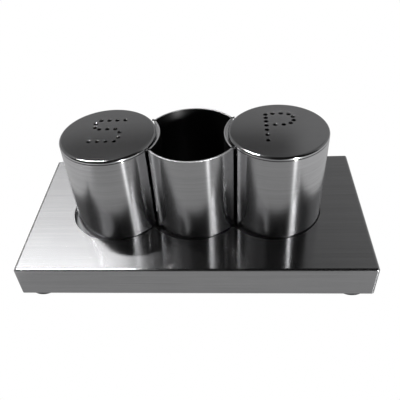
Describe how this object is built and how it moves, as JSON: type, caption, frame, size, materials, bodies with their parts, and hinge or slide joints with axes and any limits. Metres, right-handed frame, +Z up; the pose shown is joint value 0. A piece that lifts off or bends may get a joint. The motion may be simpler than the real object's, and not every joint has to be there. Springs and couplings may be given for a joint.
{
  "type": "salt and pepper set on a base",
  "caption": "Brushed steel table set: two cylindrical shakers with perforated caps and an open holder between them stand in a lobed well of a low footed base.",
  "frame": {"origin": "on the table, under the middle of the base", "axes": "+X along the base's length towards the pepper shaker, +Y from front to back, +Z up"},
  "size_m": [0.161, 0.084, 0.0627],
  "materials": {
    "brushed_steel_lengthwise": "lengthwise brushed stainless steel",
    "brushed_steel_round": "stainless steel brushed around its wall",
    "brushed_steel_cap": "satin stainless steel",
    "pressed_steel": "plain pressed stainless steel",
    "plain_steel": "plain rolled stainless steel",
    "screw_steel": "bright zinc",
    "rubber_feet": "matt black rubber",
    "collar_plastic": "black polyethylene"
  },
  "bodies": {
    "base": {"base_cover": "brushed_steel_lengthwise", "well_pan": "pressed_steel", "floor_plate": "plain_steel", "post_front_left": "plain_steel", "post_front_right": "plain_steel", "post_back_left": "plain_steel", "post_back_right": "plain_steel", "foot_front_left": "rubber_feet", "foot_front_right": "rubber_feet", "foot_back_left": "rubber_feet", "foot_back_right": "rubber_feet", "foot_screws": "screw_steel"},
    "salt_shaker": {"salt_cup": "brushed_steel_round"},
    "salt_lid": {"salt_cap": "brushed_steel_cap", "salt_collar": "collar_plastic"},
    "pepper_shaker": {"pepper_cup": "brushed_steel_round"},
    "pepper_lid": {"pepper_cap": "brushed_steel_cap", "pepper_collar": "collar_plastic"},
    "holder": {"holder_wall": "brushed_steel_round", "holder_floor": "pressed_steel"}
  },
  "joints": [
    {"name": "salt_shaker_lift", "type": "slide", "parent": "base", "child": "salt_shaker", "axis": [0, 0, 1], "range_m": [0, 0.06]},
    {"name": "salt_lid_pull", "type": "slide", "parent": "salt_shaker", "child": "salt_lid", "axis": [0, 0, 1], "range_m": [0, 0.04]},
    {"name": "pepper_shaker_lift", "type": "slide", "parent": "base", "child": "pepper_shaker", "axis": [0, 0, 1], "range_m": [0, 0.06]},
    {"name": "pepper_lid_pull", "type": "slide", "parent": "pepper_shaker", "child": "pepper_lid", "axis": [0, 0, 1], "range_m": [0, 0.04]},
    {"name": "holder_lift", "type": "slide", "parent": "base", "child": "holder", "axis": [0, 0, 1], "range_m": [0, 0.06]}
  ]
}
